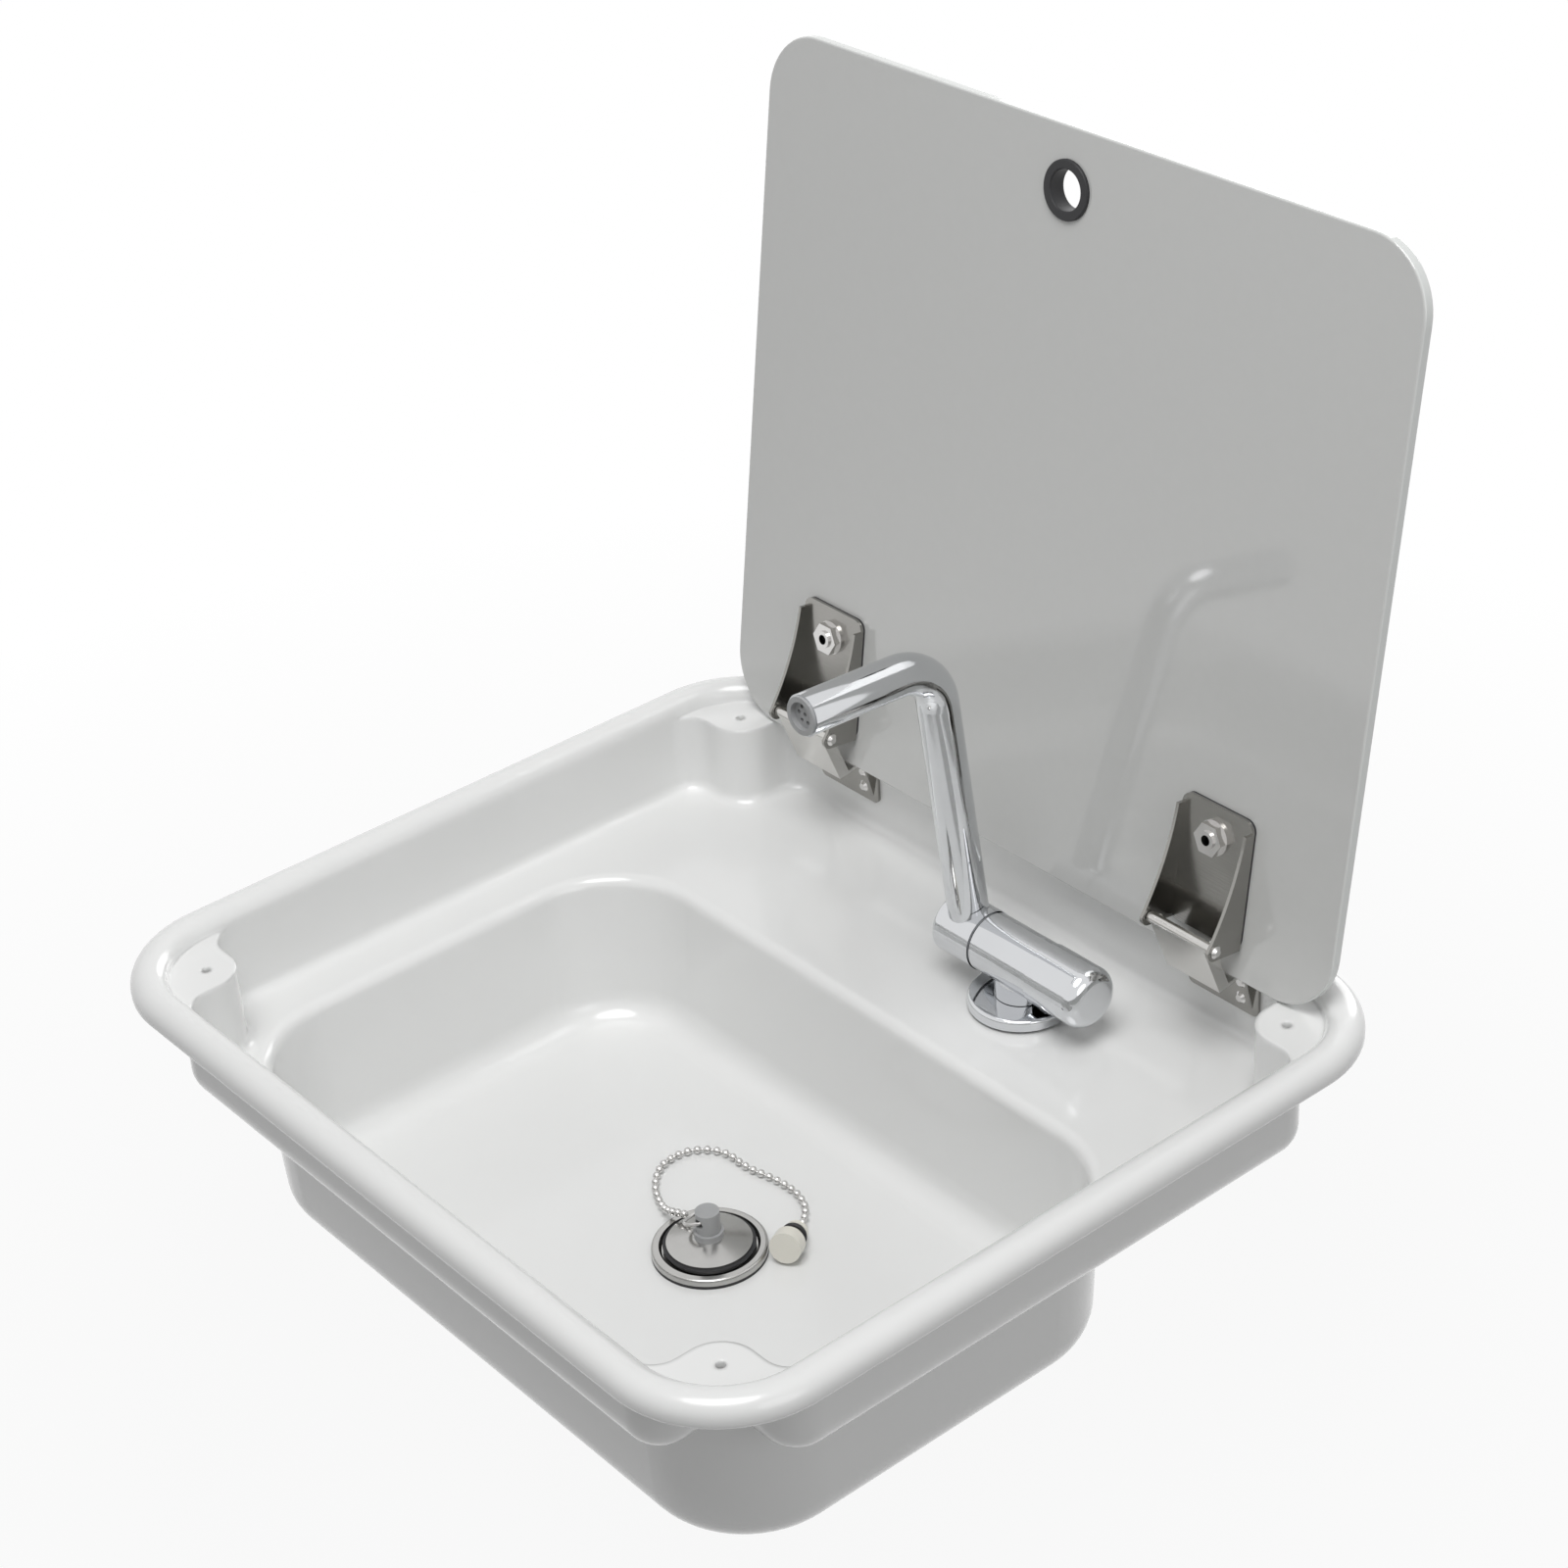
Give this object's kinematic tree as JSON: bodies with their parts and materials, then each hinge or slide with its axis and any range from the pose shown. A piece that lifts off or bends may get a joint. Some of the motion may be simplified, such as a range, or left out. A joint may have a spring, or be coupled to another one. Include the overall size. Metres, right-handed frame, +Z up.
{
  "type": "camper sink",
  "caption": "Drop-in moulded camper sink with a hinged glass lid, folding swivel tap, and waste with plug on a ball chain.",
  "frame": {"origin": "middle of the four mounting screw holes, on the worktop plane that the rim lies on", "axes": "+Z up out of the worktop, +Y to the back edge with the lid's hinges, +X to the right when facing the hinges"},
  "size_m": [0.42, 0.3909, 0.4897],
  "materials": {
    "basin_white": "smooth gloss moulding",
    "lid_glass": "opaque pale grey toughened glass with a polished edge",
    "black_rubber": "matt soft seal",
    "stainless": "satin stainless sheet",
    "bright_steel": "bright plated",
    "chrome": "polished",
    "grey_plastic": "satin",
    "white_plastic": "natural milky moulding",
    "cream_plastic": "smooth",
    "brass": "machined"
  },
  "bodies": {
    "basin": {"sink_basin": "basin_white", "hinge_base_left": "stainless", "hinge_base_right": "stainless", "hinge_rivets_left": "stainless", "hinge_rivets_right": "stainless", "hinge_base_pin_left": "stainless", "hinge_base_pin_right": "stainless", "tap_base": "chrome", "tap_base_seal": "black_rubber", "tap_clamp_washer": "white_plastic", "tap_locknut": "white_plastic", "waste_flange_seal": "black_rubber", "waste_strainer": "stainless", "waste_body_seal": "black_rubber", "waste_body": "white_plastic", "waste_screw": "stainless"},
    "hinge_links": {"hinge_link_left": "stainless", "hinge_link_right": "stainless"},
    "lid": {"lid_glass": "lid_glass", "finger_hole_grommet": "black_rubber", "lid_bracket_left": "stainless", "lid_bracket_right": "stainless", "bracket_gasket_left": "black_rubber", "bracket_gasket_right": "black_rubber", "lid_bolt_left": "bright_steel", "lid_bolt_right": "bright_steel", "lid_nut_left": "bright_steel", "lid_nut_right": "bright_steel", "hinge_upper_pin_left": "stainless", "hinge_upper_pin_right": "stainless"},
    "tap_swivel_body": {"tap_body": "chrome", "valve_cartridge": "brass", "spout_washer": "grey_plastic"},
    "tap_handle": {"tap_knob": "chrome"},
    "spout": {"spout_collar": "chrome", "spout_pipe": "chrome", "spout_aerator": "grey_plastic"},
    "plug": {"plug_seal": "black_rubber", "plug_disc": "stainless", "plug_knob": "grey_plastic", "plug_ring": "stainless", "plug_chain": "stainless", "chain_stay": "cream_plastic", "stay_seal": "black_rubber"}
  },
  "joints": [
    {"name": "lid_swing", "type": "hinge", "parent": "basin", "child": "hinge_links", "pos_m": [0, 0.1645, 0.004], "axis": [1, 0, 0], "range_deg": [0, 74]},
    {"name": "lid_pivot", "type": "hinge", "parent": "hinge_links", "child": "lid", "pos_m": [0, 0.14196, 0.0253], "axis": [1, 0, 0], "range_deg": [0, 24.15]},
    {"name": "tap_swivel", "type": "hinge", "parent": "basin", "child": "tap_swivel_body", "pos_m": [0.047, 0.119, -0.0285], "axis": [0, 0, 1], "range_deg": [-45, 45]},
    {"name": "tap_turn", "type": "hinge", "parent": "tap_swivel_body", "child": "tap_handle", "pos_m": [0.077, 0.119, -0.0115], "axis": [1, 0, 0], "range_deg": [0, 90]},
    {"name": "tap_fold", "type": "hinge", "parent": "tap_swivel_body", "child": "spout", "pos_m": [0.0167, 0.119, -0.0115], "axis": [1, 0, 0], "range_deg": [0, 83]},
    {"name": "plug_lift", "type": "slide", "parent": "basin", "child": "plug", "axis": [0, 0, 1], "range_m": [0, 0.012]}
  ],
  "couplings": [
    {"joint": "lid_pivot", "follows": "lid_swing", "ratio": 0.32633},
    {"joint": "tap_fold", "follows": "lid_swing", "ratio": 1.1216}
  ]
}
